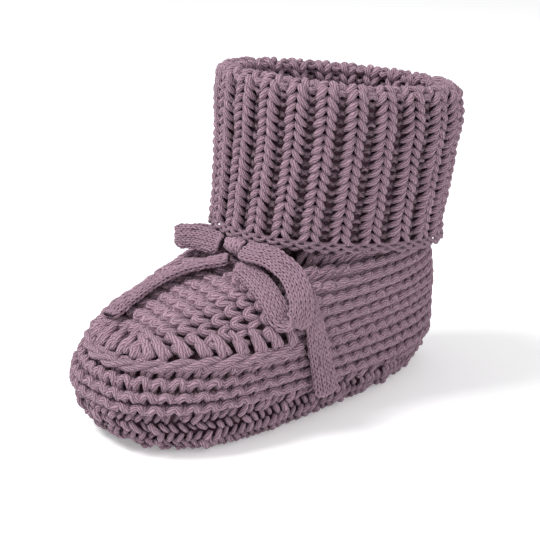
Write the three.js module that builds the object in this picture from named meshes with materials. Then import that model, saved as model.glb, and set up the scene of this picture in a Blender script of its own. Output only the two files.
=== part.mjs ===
// Knit baby bootie: garter foot, raised vamp seam, turned-down rib cuff and a tied flat cord.
// Millimetres. Z is up, the toe points to -Y and the floor is Z = 0. One shoe, alike left and right.
import * as THREE from 'three';

// Gap left where two pieces meet
const fitGap = 0.3;

// Foot sizes: reach of toe and heel from the middle, half width at the ball, heights of the pieces
const toeReach = 53.7;
const heelReach = 53.6;
const ballHalf = 25.2;
const soleTop = 8.7;
const upperFoot = soleTop + fitGap;
const seamHeight = 22;
const ankleTop = 49;
const collarHeight = 5.7;
const collarFoot = ankleTop - collarHeight;
const toeSpring = 1.6;
const springBack = 23.7;
const springStart = springBack - toeReach;
const springRun = 25;
const frontRise = 2.6;
const riseFrom = 42;
const riseTo = -22;
const seamDip = 3.3;
const dipBack = 19.7;
const dipStart = dipBack - toeReach;
const dipRun = 18;
const dipFade = 12;
const upperWall = 2.2;
const soleWall = 2.4;
const soleThickness = 3.2;

// Garter ridges: height of each ridge of the band from the sole up, number and height of the others
const bandReliefs = [1.2, 0.7, 0.7, 0.35];
const quarterRidges = 7;
const ridgeRelief = 0.7;
const vampRidges = 12;
const vampRelief = 0.7;
const vampEdgeFade = 5;

// Join of vamp and quarter, on the seam line and at the ankle
const joinY = -11;
const ankleJoinY = -1;

// Vamp rows: how far the last one's ends and its crown lie behind the toe, and the first one's crown
const lastRowBack = 5.7;
const lastCrownBack = 4.1;
const lastRowY = lastRowBack - toeReach;
const firstCrownY = -8.8;
const lastCrownY = lastCrownBack - toeReach;

// Vamp seam: rise above the seam line and how far it stands out
const seamRise = 2;
const seamOut = 2.2;

// Cuff: height of the rim, half width, rib columns, their relief and the slope of the rim, how far its
// middle lies in front of the ankle's, how far it reaches over the ankle and its widest place
const cuffRise = 33;
const cuffHalf = 29.3;
const ribCount = 24;
const ribRelief = 0.5;
const ribSamples = 3;
const cuffSlope = -0.105;
const cuffForward = 0.71;
const cuffOver = 3.43;
const cuffWideBack = 1;
const cuffRound = 2.15;

// Band of the tie round the ankle
const bandWidth = 4;
const bandDrop = 0.8;
const bandTop = ankleTop - bandDrop;
const bandFoot = bandTop - bandWidth;
const bandThickness = 1.6;

// Flat cord of the tie, how boxy its section is and how far its ends narrow, and the knot's size
const cordWidth = 6.4;
const cordThickness = 2.2;
const cordSides = 10;
const cordStep = 2.4;
const cordCorner = 0.8;
const cordTip = 0.78;
const knotPlace = { x: 3, y: -11.7, z: 43 };
const knotHalfDepth = 2.6;
const knotHalfHeight = 2.15;

// Faces round the body, rows of its inner face, points along a vamp row, steps used to find a direction
const heelColumns = 26;
const vampColumns = 16;
const ankleColumns = 10;
const innerColumns = 40;
const innerRows = 12;
const bandColumns = 48;
const vampSamples = 60;
const turnStep = 0.02;
const climbStep = 0.3;

// Heights that part the foot into sole, band and instep
const footHeights = [0, soleTop, seamHeight, ankleTop];

// Outer form of the foot, a row for each level: place among those heights, shares of the toe and heel
// reach and of the half width, widest place as a share of the toe reach (behind the middle is
// positive), roundness in front and behind, share of the width kept at the heel
const footSections = [
  { up: 0, toe: 0.855, heel: 0.877, half: 0.794, wide: -0.331, front: 2.3, back: 2.4, keep: 0.74 },
  { up: 0.138, toe: 0.919, heel: 0.933, half: 0.889, wide: -0.331, front: 2.3, back: 2.4, keep: 0.79 },
  { up: 0.402, toe: 0.971, heel: 0.957, half: 0.96, wide: -0.331, front: 2.35, back: 2.4, keep: 0.83 },
  { up: 1, toe: 1, heel: 0.985, half: 1, wide: -0.331, front: 2.4, back: 2.5, keep: 0.86 },
  { up: 1.398, toe: 0.996, heel: 0.996, half: 0.992, wide: -0.313, front: 2.4, back: 2.5, keep: 0.87 },
  { up: 2, toe: 0.941, heel: 1, half: 0.96, wide: -0.257, front: 2.2, back: 2.5, keep: 0.89 },
  { up: 2.148, toe: 0.82, heel: 0.985, half: 0.968, wide: -0.165, front: 2.15, back: 2.5, keep: 0.91 },
  { up: 2.315, toe: 0.651, heel: 0.963, half: 0.964, wide: -0.055, front: 2.1, back: 2.45, keep: 0.94 },
  { up: 2.519, toe: 0.377, heel: 0.929, half: 0.937, wide: 0.129, front: 2.1, back: 2.35, keep: 0.97 },
  { up: 2.685, toe: 0.169, heel: 0.899, half: 0.889, wide: 0.276, front: 2.15, back: 2.25, keep: 0.99 },
  { up: 2.815, toe: 0.11, heel: 0.877, half: 0.849, wide: 0.349, front: 2.15, back: 2.15, keep: 1 },
  { up: 3, toe: 0.096, heel: 0.869, half: 0.833, wide: 0.368, front: 2.15, back: 2.15, keep: 1 },
];
const heightAt = (up) => {
  const zone = Math.min(Math.floor(up), footHeights.length - 2);
  return footHeights[zone] + (up - zone) * (footHeights[zone + 1] - footHeights[zone]);
};
const footLevels = footSections.map(({ up, toe, heel, half, wide, ...rest }) => ({
  z: heightAt(up),
  toe: -toe * toeReach,
  heel: heel * heelReach,
  half: half * ballHalf,
  wide: wide * toeReach,
  ...rest,
}));

// Relief of the sole's side, a row for each share of its height
const soleSteps = [
  { up: 0, out: 0 },
  { up: 0.138, out: 0 },
  { up: 0.333, out: 0.5 },
  { up: 0.552, out: 0 },
  { up: 0.77, out: 0.4 },
  { up: 1, out: -0.4 },
];

// Middle of the cuff cloth from the ankle up, over the rim and down to the hem: share of the rim's
// height above the ankle, shares of the cuff's reach in front and behind and of its half width, share of
// the rim's slope, cloth thickness
const cuffSections = [
  { up: 0, fore: 0.816, aft: 0.863, half: 0.672, slope: 0, thick: 2.6 },
  { up: 0.294, fore: 0.805, aft: 0.908, half: 0.737, slope: 0.5, thick: 2.6 },
  { up: 0.627, fore: 0.799, aft: 0.966, half: 0.809, slope: 0.9, thick: 2.8 },
  { up: 0.882, fore: 0.785, aft: 1.003, half: 0.85, slope: 1, thick: 3 },
  { up: 0.991, fore: 0.836, aft: 1.055, half: 0.901, slope: 1, thick: 3.4 },
  { up: 0.973, fore: 0.915, aft: 1.126, half: 0.969, slope: 1, thick: 3.4 },
  { up: 0.864, fore: 0.949, aft: 1.16, half: 1, slope: 1, thick: 3 },
  { up: 0.536, fore: 0.976, aft: 1.14, half: 0.969, slope: 1, thick: 2.8 },
  { up: 0.173, fore: 1.024, aft: 1.092, half: 0.918, slope: 1, thick: 2.8 },
  { up: -0.094, fore: 1.065, aft: 1.058, half: 0.877, slope: 1, thick: 2.8 },
  { up: -0.209, fore: 1.089, aft: 1.065, half: 0.884, slope: 1, thick: 2.2 },
];
const ankle = footLevels[footLevels.length - 1];
const cuffMiddleY = (ankle.heel + ankle.toe) / 2 - cuffForward;
const cuffWideY = cuffMiddleY + cuffWideBack;
const cuffReach = (ankle.heel - ankle.toe) / 2 + cuffOver;
const cuffLevels = cuffSections.map(({ up, fore, aft, half, slope, thick }) => ({
  z: ankleTop + fitGap + up * cuffRise,
  front: cuffMiddleY - fore * cuffReach,
  back: cuffMiddleY + aft * cuffReach,
  half: half * cuffHalf,
  slope,
  thick,
}));

// Section of the raised vamp seam: shares of its rise and of how far it stands out
const seamSection = [
  { rise: -0.35, out: 0.39 },
  { rise: 1, out: 0.39 },
  { rise: 0.9, out: 0.73 },
  { rise: 0.3, out: 1 },
  { rise: -0.3, out: 0.73 },
];

// Knot from side to side: place along it and share of its half depth and half height
const knotProfile = [
  { along: -3.9, share: 0.55 },
  { along: -2.6, share: 0.88 },
  { along: -1.9, share: 0.84 },
  { along: -1.5, share: 1 },
  { along: 1.5, share: 1 },
  { along: 1.9, share: 0.84 },
  { along: 2.6, share: 0.88 },
  { along: 3.9, share: 0.55 },
];

// Routes of the cord: middle of the cord and the direction of its flat side's width
const cordRoutes = {
  tie_loop_left: [
    { x: -1.6, y: -13.9, z: 42.5, wx: 0, wy: 0.5, wz: 0.86 },
    { x: -5.4, y: -14.5, z: 42.6, wx: 0, wy: 0.5, wz: 0.86 },
    { x: -10.6, y: -15.4, z: 42.6, wx: 0, wy: 0.3, wz: 0.95 },
    { x: -15.2, y: -16.6, z: 41.8, wx: 0, wy: 0.15, wz: 0.99 },
    { x: -17.6, y: -16, z: 41.4, wx: -0.1, wy: 0, wz: 0.99 },
    { x: -16.4, y: -13.9, z: 41.4, wx: -0.1, wy: 0.1, wz: 0.99 },
    { x: -11.6, y: -12.4, z: 42.3, wx: 0, wy: 0.3, wz: 0.95 },
    { x: -6.4, y: -11.6, z: 42.4, wx: 0, wy: 0.5, wz: 0.86 },
    { x: -1.9, y: -11, z: 42.5, wx: 0, wy: 0.5, wz: 0.86 },
  ],
  tie_loop_right: [
    { x: 7.5, y: -13.3, z: 43.4, wx: 0, wy: 0.8, wz: 0.5 },
    { x: 11.4, y: -13.5, z: 43.55, wx: 0.1, wy: 0.8, wz: 0.5 },
    { x: 15.6, y: -12.3, z: 43.6, wx: 0.25, wy: 0.85, wz: 0.4 },
    { x: 19.9, y: -11.4, z: 42.2, wx: 0.35, wy: 0.88, wz: 0.3 },
    { x: 23.6, y: -10.8, z: 39.8, wx: 0.4, wy: 0.88, wz: 0.2 },
    { x: 26.6, y: -11.2, z: 36.2, wx: 0.35, wy: 0.92, wz: 0.1 },
    { x: 27.8, y: -12, z: 32.6, wx: 0.3, wy: 0.95, wz: 0 },
    { x: 27.7, y: -13.5, z: 30.2, wx: 0.3, wy: 0.95, wz: 0 },
    { x: 25.4, y: -15.3, z: 30.7, wx: 0.3, wy: 0.95, wz: 0.1 },
    { x: 22.9, y: -16.2, z: 34.2, wx: 0.3, wy: 0.9, wz: 0.2 },
    { x: 19, y: -16.2, z: 37, wx: 0.2, wy: 0.9, wz: 0.3 },
    { x: 14, y: -15.8, z: 38.9, wx: 0.1, wy: 0.9, wz: 0.3 },
    { x: 9.1, y: -15.9, z: 40.3, wx: 0, wy: 0.9, wz: 0.3 },
  ],
  tie_end_left: [
    { x: 3.8, y: -15.5, z: 40.6, wx: 0.95, wy: 0.2, wz: 0.1 },
    { x: 0.3, y: -18.8, z: 39.3, wx: 0.9, wy: -0.3, wz: 0.1 },
    { x: -3.4, y: -22.8, z: 37.8, wx: 0.92, wy: -0.3, wz: 0.15 },
    { x: -5.8, y: -27.6, z: 35.9, wx: 0.96, wy: -0.2, wz: 0.2 },
    { x: -6.8, y: -33, z: 33.7, wx: 0.97, wy: 0, wz: 0.2 },
    { x: -7, y: -38.4, z: 31.2, wx: 0.97, wy: 0.1, wz: 0.2 },
    { x: -6.4, y: -44.2, z: 28.9, wx: 0.97, wy: 0.1, wz: 0.2 },
  ],
  tie_end_right: [
    { x: 8, y: -10.2, z: 42, wx: 0, wy: 0.9, wz: 0.3 },
    { x: 12.2, y: -9, z: 41.9, wx: 0.1, wy: 0.9, wz: 0.3 },
    { x: 17, y: -8, z: 40.5, wx: 0.2, wy: 0.95, wz: 0.2 },
    { x: 21.2, y: -7.8, z: 37.9, wx: 0.2, wy: 0.95, wz: 0.1 },
    { x: 24.4, y: -7.8, z: 34.5, wx: 0.1, wy: 0.98, wz: 0 },
    { x: 26.4, y: -7.2, z: 30.6, wx: 0, wy: 1, wz: -0.1 },
    { x: 27, y: -6.4, z: 26.4, wx: 0, wy: 1, wz: -0.2 },
    { x: 27, y: -5.4, z: 22, wx: 0, wy: 1, wz: -0.2 },
    { x: 27.2, y: -4.4, z: 17.4, wx: 0, wy: 1, wz: -0.2 },
    { x: 27.8, y: -3.6, z: 12.8, wx: 0, wy: 1, wz: -0.2 },
    { x: 27.9, y: -3, z: 9.4, wx: 0, wy: 1, wz: -0.2 },
  ],
};

const clamp01 = (value) => Math.min(1, Math.max(0, value));

// Smooth value of one column of a table at a given height
function levelValue(key, z) {
  const rows = footLevels;
  const last = rows.length - 1;
  let i = 0;
  while (i < last - 1 && z > rows[i + 1].z) i += 1;
  const rate = (k) => (rows[k + 1][key] - rows[k][key]) / (rows[k + 1].z - rows[k].z);
  const slopeAt = (k) => {
    if (k === 0) return rate(0);
    if (k === last) return rate(last - 1);
    const before = rate(k - 1);
    const after = rate(k);
    return before * after <= 0 ? 0 : (2 * before * after) / (before + after);
  };
  const span = rows[i + 1].z - rows[i].z;
  const t = clamp01((z - rows[i].z) / span);
  const rise = t * t * (3 - 2 * t);
  const enter = t * (1 - t) * (1 - t) * span * slopeAt(i);
  const leave = t * t * (t - 1) * span * slopeAt(i + 1);
  return rows[i][key] * (1 - rise) + rows[i + 1][key] * rise + enter + leave;
}

function footLevel(z) {
  const row = { z };
  for (const key of ['toe', 'heel', 'half', 'wide', 'front', 'back', 'keep']) {
    row[key] = levelValue(key, z);
  }
  return row;
}

// Lift of a level by the toe spring and by the sole's side, which grows taller toward the toe, less the
// dip of the seam line at the toe's tip
function levelLift(y, z) {
  const t = clamp01((springStart - y) / springRun);
  const front = clamp01((riseFrom - y) / (riseFrom - riseTo));
  const share = z < soleTop ? z / soleTop : clamp01((seamHeight - z) / (seamHeight - soleTop));
  const tip = clamp01((dipStart - y) / dipRun);
  const near = z < seamHeight ? z / seamHeight : clamp01(1 - (z - seamHeight) / dipFade);
  const side = frontRise * front * front * (3 - 2 * front) * share;
  return toeSpring * t * t + side - seamDip * tip * tip * near;
}

// Point on the outer form of the foot: angle 0 is the heel, a quarter turn +X, half a turn the toe
function footPoint(angle, z) {
  const row = footLevel(z);
  const c = Math.cos(angle);
  const s = Math.sin(angle);
  const round = c < 0 ? row.front : row.back;
  const reach = Math.abs(c) ** (2 / round);
  const y = c < 0 ? row.wide - (row.wide - row.toe) * reach : row.wide + (row.heel - row.wide) * reach;
  const narrow = c < 0 ? 1 : 1 - (1 - row.keep) * reach;
  const x = row.half * narrow * Math.sign(s) * Math.abs(s) ** (2 / round);
  return new THREE.Vector3(x, y, z + levelLift(y, z));
}

// Outward direction of the form, and its level direction for pieces whose edges lie level
function footNormal(angle, z) {
  const across = footPoint(angle + turnStep, z).sub(footPoint(angle - turnStep, z));
  const above = footPoint(angle, Math.min(z + climbStep, ankleTop));
  const below = footPoint(angle, Math.max(z - climbStep, 0));
  return above.sub(below).cross(across).normalize();
}

function levelNormal(angle, z) {
  return footNormal(angle, z).setZ(0).normalize();
}

// Angle at which a level passes a given y on the +X side
function angleAt(y, z) {
  const row = footLevel(z);
  if (y > row.wide) return Math.acos(clamp01((y - row.wide) / (row.heel - row.wide)) ** (row.back / 2));
  return Math.acos(-(clamp01((row.wide - y) / (row.wide - row.toe)) ** (row.front / 2)));
}

// Points and triangles of one closed body; strips face along (column direction) x (low to high)
class Body {
  constructor() {
    this.points = [];
    this.faces = [];
  }

  add(point) {
    this.points.push(point);
    return this.points.length - 1;
  }

  face(a, b, c) {
    if (a !== b && b !== c && c !== a) this.faces.push([a, b, c]);
  }

  row(low, high) {
    for (let i = 0; i + 1 < low.length; i += 1) {
      this.face(low[i], low[i + 1], high[i + 1]);
      this.face(low[i], high[i + 1], high[i]);
    }
  }

  ring(low, high) {
    this.row([...low, low[0]], [...high, high[0]]);
  }

  // Rows with different counts, each with its rising places
  stitch(low, lowPlaces, high, highPlaces) {
    let i = 0;
    let k = 0;
    while (i + 1 < low.length || k + 1 < high.length) {
      const nextLow = i + 1 < low.length ? lowPlaces[i + 1] : Infinity;
      const nextHigh = k + 1 < high.length ? highPlaces[k + 1] : Infinity;
      if (nextLow <= nextHigh) {
        this.face(low[i], low[i + 1], high[k]);
        i += 1;
      } else {
        this.face(low[i], high[k + 1], high[k]);
        k += 1;
      }
    }
  }

  // Rings with different counts and angles, both started at the heel
  stitchRings(low, lowAngles, high, highAngles) {
    const fromHeel = (ids, angles) => {
      const full = 2 * Math.PI;
      const list = ids.map((id, i) => ({ id, angle: (angles[i] + 2 * full + 1e-6) % full }));
      list.sort((p, q) => p.angle - q.angle);
      list.push({ id: list[0].id, angle: list[0].angle + full });
      return list;
    };
    const a = fromHeel(low, lowAngles);
    const b = fromHeel(high, highAngles);
    this.stitch(a.map((p) => p.id), a.map((p) => p.angle), b.map((p) => p.id), b.map((p) => p.angle));
  }

  // Flat cover of a ring that is alike left and right, with one column at the heel and one at the toe
  cover(ids, angles, faceUp) {
    const full = 2 * Math.PI;
    const list = ids.map((id, i) => ({ id, angle: (angles[i] + 2 * full + 1e-6) % full }));
    list.sort((p, q) => p.angle - q.angle);
    const last = list.length;
    const right = [];
    const left = [];
    for (let i = 0; i <= last / 2; i += 1) {
      right.push(list[i].id);
      left.push(list[(last - i) % last].id);
    }
    if (faceUp) this.row(left, right);
    else this.row(right, left);
  }

  geometry() {
    const shape = new THREE.BufferGeometry();
    const values = new Float32Array(this.points.flatMap((p) => [p.x, p.y, p.z]));
    shape.setAttribute('position', new THREE.BufferAttribute(values, 3));
    shape.setIndex(this.faces.flat());
    shape.computeVertexNormals();
    return shape;
  }
}

// Columns round the foot: right join to the toe, toe to the left join, then round the heel
const vampRows = 2 * vampRidges;
const rowY = (j) => joinY + ((lastRowY - joinY) * j) / (vampRows - 1);
const rightColumns = Array.from({ length: vampRows }, (_, j) => angleAt(rowY(j), seamHeight));
const leftColumns = rightColumns.map((angle) => 2 * Math.PI - angle).reverse();
const toeFrom = rightColumns[vampRows - 1];
const toeColumns = Array.from({ length: vampColumns - 1 },
  (_, i) => toeFrom + (2 * (Math.PI - toeFrom) * (i + 1)) / vampColumns);
const frontColumns = [...rightColumns, ...toeColumns, ...leftColumns];
const joinLeft = leftColumns[vampRows - 1];
const heelTurn = 2 * (2 * Math.PI - joinLeft);
const backColumns = Array.from({ length: heelColumns - 1 },
  (_, i) => joinLeft + (heelTurn * (i + 1)) / heelColumns);
const footColumns = [...frontColumns, ...backColumns];
const innerAngles = Array.from({ length: innerColumns }, (_, i) => (2 * Math.PI * i) / innerColumns);

// Levels of the garter ridges with their relief
const bandPitch = (seamHeight - upperFoot) / bandReliefs.length;
const bandStops = Array.from({ length: 2 * bandReliefs.length + 1 }, (_, i) => (
  { z: upperFoot + (bandPitch * i) / 2, out: i % 2 === 1 ? bandReliefs[(i - 1) / 2] : 0 }));
const quarterPitch = (collarFoot - seamHeight) / quarterRidges;
const quarterStops = Array.from({ length: 2 * quarterRidges }, (_, i) => (
  { z: seamHeight + (quarterPitch * (i + 1)) / 2, out: i % 2 === 0 ? ridgeRelief : 0 }));
const collarStops = [bandFoot, ankleTop];
const innerStops = Array.from({ length: innerRows },
  (_, i) => upperFoot + ((ankleTop - upperFoot) * i) / (innerRows - 1));

// Row across the vamp, right edge to left edge, in even steps along its curve
function vampRow(j, relief) {
  const endY = rowY(j);
  const crownY = firstCrownY + ((lastCrownY - firstCrownY) * (j - 1)) / (vampRows - 2);
  let crown = seamHeight;
  let high = collarFoot;
  while (high - crown > 1e-6) {
    const middle = (crown + high) / 2;
    if (levelValue('toe', middle) < crownY) crown = middle;
    else high = middle;
  }
  const half = Array.from({ length: vampSamples + 1 }, (_, k) => {
    const share = 1 - (1 - k / vampSamples) ** 2;
    const z = seamHeight + (crown - seamHeight) * share;
    return { angle: k === vampSamples ? Math.PI : angleAt(endY + (crownY - endY) * share, z), z };
  });
  const mirrored = half.slice(0, -1).reverse().map(({ angle, z }) => ({ angle: 2 * Math.PI - angle, z }));
  const curve = [...half, ...mirrored];
  const spots = curve.map(({ angle, z }) => footPoint(angle, z));
  const run = [0];
  for (let k = 1; k < spots.length; k += 1) run.push(run[k - 1] + spots[k].distanceTo(spots[k - 1]));
  const total = run[run.length - 1];
  const section = [];
  for (let i = 0; i <= vampColumns; i += 1) {
    const target = (total * i) / vampColumns;
    const k = Math.max(1, run.findIndex((length) => length >= target - 1e-9));
    const t = (target - run[k - 1]) / (run[k] - run[k - 1]);
    const fade = clamp01(Math.min(target, total - target) / vampEdgeFade);
    const way = footNormal(curve[k].angle, curve[k].z);
    section.push(spots[k - 1].clone().lerp(spots[k], t).addScaledVector(way, relief * fade));
  }
  return section;
}

// Upper: garter band, quarter and vamp as one hollow wall, open at the ankle and over the sole
function buildUpper() {
  const body = new Body();
  const outerRing = ({ z, out }) => footColumns.map((angle) => {
    const way = z === upperFoot ? levelNormal(angle, z) : footNormal(angle, z);
    return body.add(footPoint(angle, z).addScaledVector(way, out));
  });
  const band = bandStops.map(outerRing);
  for (let i = 0; i + 1 < band.length; i += 1) body.ring(band[i + 1], band[i]);
  const seamRing = band[band.length - 1];

  // Quarter from the left join round the heel to the right join
  const firstLine = [...seamRing.slice(frontColumns.length - 1), seamRing[0]];
  const quarter = [firstLine];
  let ankleAngle = joinLeft;
  for (const { z, out } of quarterStops) {
    const lean = (z - seamHeight) / (collarFoot - seamHeight);
    const start = 2 * Math.PI - angleAt(joinY + (ankleJoinY - joinY) * lean, z);
    quarter.push(firstLine.map((_, i) => {
      const angle = start + (2 * (2 * Math.PI - start) * i) / heelColumns;
      const fade = clamp01(Math.min(i, heelColumns - i) / 2);
      return body.add(footPoint(angle, z).addScaledVector(footNormal(angle, z), out * fade));
    }));
    ankleAngle = start;
  }
  for (let i = 0; i + 1 < quarter.length; i += 1) body.row(quarter[i + 1], quarter[i]);

  // Vamp rows across the foot, from the joins and the collar's front edge to the toe
  const vamp = [];
  for (let j = 1; j < vampRows; j += 1) {
    const crest = j % 2 === 1 && j < vampRows - 1;
    vamp.push(vampRow(j, crest ? vampRelief : 0).map((point, i) => {
      if (i === 0) return seamRing[j];
      return i === vampColumns ? seamRing[frontColumns.length - 1 - j] : body.add(point);
    }));
  }
  const frontTurn = 2 * (ankleAngle - Math.PI);
  const ankleAngles = Array.from({ length: ankleColumns - 1 },
    (_, i) => 2 * Math.PI - ankleAngle + (frontTurn * (i + 1)) / ankleColumns);
  const ankleFront = ankleAngles.map((angle) => body.add(footPoint(angle, collarFoot)));
  const rightJoin = quarter.map((line) => line[heelColumns]);
  const leftJoin = quarter.map((line) => line[0]).reverse();
  const backEdge = [...rightJoin, ...ankleFront, ...leftJoin];
  const places = (ids) => {
    const run = [0];
    for (let i = 1; i < ids.length; i += 1) {
      run.push(run[i - 1] + body.points[ids[i]].distanceTo(body.points[ids[i - 1]]));
    }
    return run.map((length) => length / run[run.length - 1]);
  };
  body.stitch(backEdge, places(backEdge), vamp[0], places(vamp[0]));
  for (let j = 0; j + 1 < vamp.length; j += 1) body.row(vamp[j], vamp[j + 1]);
  body.row(vamp[vamp.length - 1], seamRing.slice(vampRows - 1, vampRows + vampColumns));

  // Plain collar above the ridges, where the tie lies
  const heelLine = quarter[quarter.length - 1];
  const collarAngles = [2 * Math.PI - ankleAngle, ...ankleAngles,
    ...heelLine.slice(0, -1).map((_, i) => ankleAngle + (2 * (2 * Math.PI - ankleAngle) * i) / heelColumns)];
  const collar = [[heelLine[heelColumns], ...ankleFront, ...heelLine.slice(0, -1)]];
  for (const z of collarStops) {
    collar.push(collarAngles.map((angle) => body.add(footPoint(angle, z))));
    body.ring(collar[collar.length - 1], collar[collar.length - 2]);
  }

  // Inner face and the two level edges
  const inner = innerStops.map((z) => innerAngles.map((angle) => {
    const level = z === upperFoot || z === ankleTop;
    const way = level ? levelNormal(angle, z) : footNormal(angle, z);
    return body.add(footPoint(angle, z).addScaledVector(way, -upperWall));
  }));
  for (let i = 0; i + 1 < inner.length; i += 1) body.ring(inner[i], inner[i + 1]);
  body.stitchRings(band[0], footColumns, inner[0], innerAngles);
  body.stitchRings(inner[inner.length - 1], innerAngles, collar[collar.length - 1], collarAngles);
  return body.geometry();
}

// Sole: a shallow knit cup with a flat underside and two ridges round its side
function buildSole() {
  const body = new Body();
  const outer = soleSteps.map(({ up, out }) => footColumns.map((angle) => (
    body.add(footPoint(angle, up * soleTop).addScaledVector(levelNormal(angle, up * soleTop), out)))));
  for (let i = 0; i + 1 < outer.length; i += 1) body.ring(outer[i + 1], outer[i]);
  const inner = [soleThickness, soleTop].map((z) => innerAngles.map((angle) => (
    body.add(footPoint(angle, z).addScaledVector(levelNormal(angle, z), -soleWall)))));
  body.ring(inner[0], inner[1]);
  body.cover(outer[0], footColumns, false);
  body.cover(inner[0], innerAngles, true);
  body.stitchRings(inner[1], innerAngles, outer[outer.length - 1], footColumns);
  return body.geometry();
}

// Raised seam along the edge of the vamp, on the form of the upper
function buildVampSeam() {
  const body = new Body();
  const lines = seamSection.map(({ rise, out }) => frontColumns.map((angle) => {
    const z = seamHeight + rise * seamRise;
    return body.add(footPoint(angle, z).addScaledVector(footNormal(angle, z), out * seamOut));
  }));
  const closed = [...lines, lines[0]];
  for (let i = 0; i + 1 < closed.length; i += 1) body.row(closed[i], closed[i + 1]);
  const first = lines.map((line) => line[0]);
  const last = lines.map((line) => line[line.length - 1]);
  for (let i = 1; i + 1 < lines.length; i += 1) {
    body.face(first[0], first[i], first[i + 1]);
    body.face(last[0], last[i + 1], last[i]);
  }
  return body.geometry();
}

// Band of the tie, lying round the ankle
function buildTieBand() {
  const body = new Body();
  const corners = [
    { z: bandFoot, out: fitGap + bandThickness },
    { z: bandFoot, out: fitGap },
    { z: bandTop, out: fitGap },
    { z: bandTop, out: fitGap + bandThickness },
  ];
  const rings = corners.map(({ z, out }) => Array.from({ length: bandColumns }, (_, i) => {
    const angle = (2 * Math.PI * i) / bandColumns;
    return body.add(footPoint(angle, z).addScaledVector(levelNormal(angle, z), out));
  }));
  const closed = [...rings, rings[0]];
  for (let i = 0; i + 1 < closed.length; i += 1) body.ring(closed[i], closed[i + 1]);
  return body.geometry();
}

// Point in the middle of the cuff cloth
function cuffPoint(angle, row) {
  const c = Math.cos(angle);
  const s = Math.sin(angle);
  const reach = Math.sign(c) * Math.abs(c) ** (2 / cuffRound);
  const y = cuffWideY + (c < 0 ? cuffWideY - row.front : row.back - cuffWideY) * reach;
  const x = row.half * Math.sign(s) * Math.abs(s) ** (2 / cuffRound);
  return new THREE.Vector3(x, y, row.z + cuffSlope * row.slope * (y - cuffMiddleY));
}

// Cuff: ribbed shaft, rolled rim and turned-down flap in one cloth
function buildCuff() {
  const body = new Body();
  const columns = ribCount * ribSamples;
  const last = cuffLevels.length - 1;
  const angles = Array.from({ length: columns }, (_, i) => (2 * Math.PI * i) / columns);
  const face = (side) => cuffLevels.map((row, k) => angles.map((angle) => {
    const before = cuffLevels[Math.max(k - 1, 0)];
    const after = cuffLevels[Math.min(k + 1, last)];
    const along = cuffPoint(angle, after).sub(cuffPoint(angle, before));
    const across = cuffPoint(angle + turnStep, row).sub(cuffPoint(angle - turnStep, row));
    const way = across.cross(along).normalize();
    if (k === 0) way.setZ(0).normalize();
    const rib = side > 0 ? ribRelief * Math.cos(ribCount * angle) : 0;
    return body.add(cuffPoint(angle, row).addScaledVector(way, side * (row.thick / 2 + rib)));
  }));
  const shown = face(1);
  const hidden = face(-1).reverse();
  const loop = [...shown, ...hidden, shown[0]];
  for (let i = 0; i + 1 < loop.length; i += 1) body.ring(loop[i], loop[i + 1]);
  return body.geometry();
}

// Section round a flat cord or the knot, wide along one direction and shallow along the other
function flatSection(halfWide, halfDeep) {
  return Array.from({ length: cordSides }, (_, i) => {
    const turn = (2 * Math.PI * (i + 0.5)) / cordSides;
    const wide = Math.sign(Math.cos(turn)) * Math.abs(Math.cos(turn)) ** cordCorner;
    const deep = Math.sign(Math.sin(turn)) * Math.abs(Math.sin(turn)) ** cordCorner;
    return { wide: halfWide * wide, deep: halfDeep * deep };
  });
}

// Closes a chain of equal rings into one body with flat ends
function chainGeometry(body, rings) {
  for (let i = 0; i + 1 < rings.length; i += 1) body.ring(rings[i], rings[i + 1]);
  const first = rings[0];
  const last = rings[rings.length - 1];
  for (let i = 1; i + 1 < cordSides; i += 1) {
    body.face(first[0], first[i + 1], first[i]);
    body.face(last[0], last[i], last[i + 1]);
  }
  return body.geometry();
}

// Flat cord along its route, narrowed over the last step at each end
function buildCord(route) {
  const body = new Body();
  const curve = new THREE.CatmullRomCurve3(route.map((p) => new THREE.Vector3(p.x, p.y, p.z)), false,
    'centripetal');
  const steps = Math.round(curve.getLength() / cordStep);
  const rings = Array.from({ length: steps + 1 }, (_, n) => {
    const t = n / steps;
    const along = curve.getUtoTmapping(t) * (route.length - 1);
    const k = Math.min(Math.floor(along), route.length - 2);
    const a = new THREE.Vector3(route[k].wx, route[k].wy, route[k].wz);
    const b = new THREE.Vector3(route[k + 1].wx, route[k + 1].wy, route[k + 1].wz);
    const tangent = curve.getTangentAt(t);
    const wide = a.lerp(b, along - k);
    wide.addScaledVector(tangent, -wide.dot(tangent)).normalize();
    const deep = tangent.clone().cross(wide);
    const ends = n === 0 || n === steps ? cordTip : 1;
    return flatSection((cordWidth / 2) * ends, (cordThickness / 2) * ends).map((p) => (
      body.add(curve.getPointAt(t).addScaledVector(wide, p.wide).addScaledVector(deep, p.deep))));
  });
  return chainGeometry(body, rings);
}

// Knot: the cord drawn round itself, with its wrap standing up in the middle
function buildKnot() {
  const body = new Body();
  const rings = knotProfile.map(({ along, share }) => (
    flatSection(knotHalfDepth * share, knotHalfHeight * share).map((p) => (
      body.add(new THREE.Vector3(knotPlace.x + along, knotPlace.y + p.wide, knotPlace.z + p.deep))))));
  return chainGeometry(body, rings);
}

function piece(name, geometry, color) {
  const material = new THREE.MeshStandardMaterial({ color, roughness: 0.95, metalness: 0 });
  const mesh = new THREE.Mesh(geometry, material);
  mesh.name = name;
  return mesh;
}

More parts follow.
